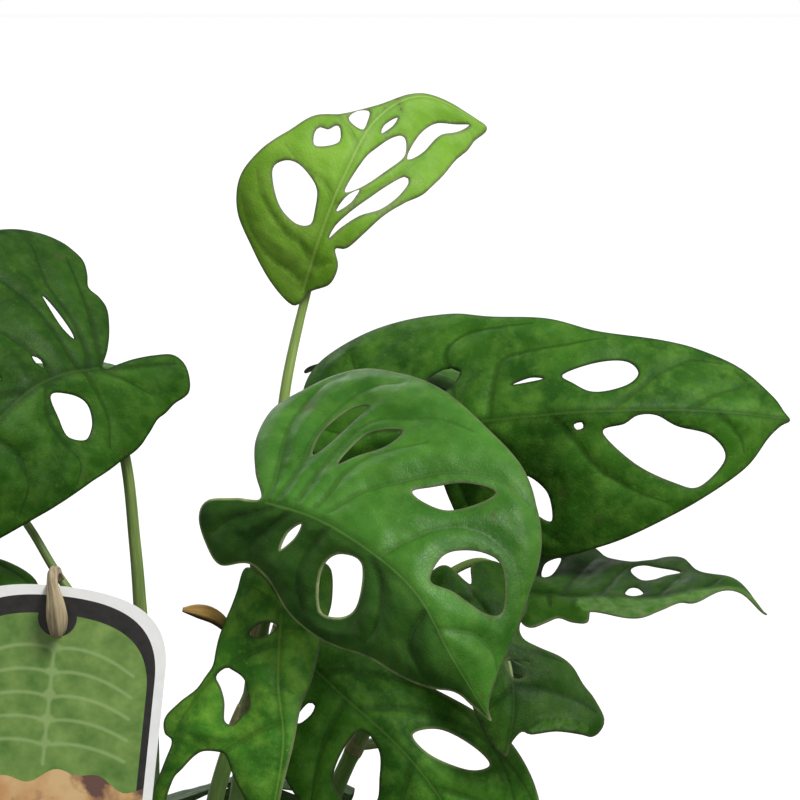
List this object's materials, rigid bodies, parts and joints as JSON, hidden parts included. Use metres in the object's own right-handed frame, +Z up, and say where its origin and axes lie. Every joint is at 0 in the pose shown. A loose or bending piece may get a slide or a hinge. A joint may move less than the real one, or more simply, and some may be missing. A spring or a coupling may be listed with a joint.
{
  "type": "potted swiss cheese vine",
  "caption": "Potted aroid house plant: glossy heart-shaped leaves with large natural holes, vine stems, soil, a tapered nursery pot and a plain plant tag.",
  "frame": {"origin": "centre of the flat base of the pot", "axes": "+Z up along the pot's axis; -Y towards the viewer of the picture; +X to the viewer's right, where the longest leaf reaches"},
  "size_m": [0.4243, 0.3216, 0.4361],
  "materials": {
    "leaf_young": "young lime green blade, satin",
    "leaf_bright": "mid green blade, satin with pale side veins",
    "leaf_mottled": "mid green blade with paler mottle, satin",
    "leaf_dark": "dark green blade, satin",
    "vine_stem": "smooth olive green stem",
    "pot_plastic": "matt anthracite moulded plastic",
    "potting_soil": "dark crumbly peat mix",
    "tag_card": "white coated card with a plain printed pattern",
    "tag_tie": "papery tan tie",
    "bud_sheath": "dry brown bud scale"
  },
  "bodies": {
    "root": {"leaf_lime": "leaf_young", "leaf_right": "leaf_dark", "leaf_front": "leaf_bright", "leaf_left": "leaf_dark", "leaf_hanging": "leaf_mottled", "leaf_tip_down": "leaf_dark", "leaf_lower": "leaf_dark", "leaf_edgewise": "leaf_dark", "leaf_back_high": "leaf_dark", "leaf_back_mid": "leaf_dark", "leaf_back_right": "leaf_dark", "leaf_back_left": "leaf_dark", "leaf_left_high": "leaf_dark", "leaf_dark_left": "leaf_dark", "leaf_left_back": "leaf_dark", "leaf_left_low": "leaf_dark", "leaf_front_left": "leaf_dark", "leaf_front_low": "leaf_dark", "leaf_right_front": "leaf_dark", "leaf_right_back": "leaf_dark", "leaf_back_low": "leaf_dark", "leaf_back_corner": "leaf_dark", "stem_left": "vine_stem", "stem_mid": "vine_stem", "stem_right": "vine_stem", "stem_back": "vine_stem", "stem_low": "vine_stem", "pot": "pot_plastic", "soil": "potting_soil", "tag": "tag_card", "tag_tie": "tag_tie", "bud_sheath": "bud_sheath"}
  },
  "joints": []
}
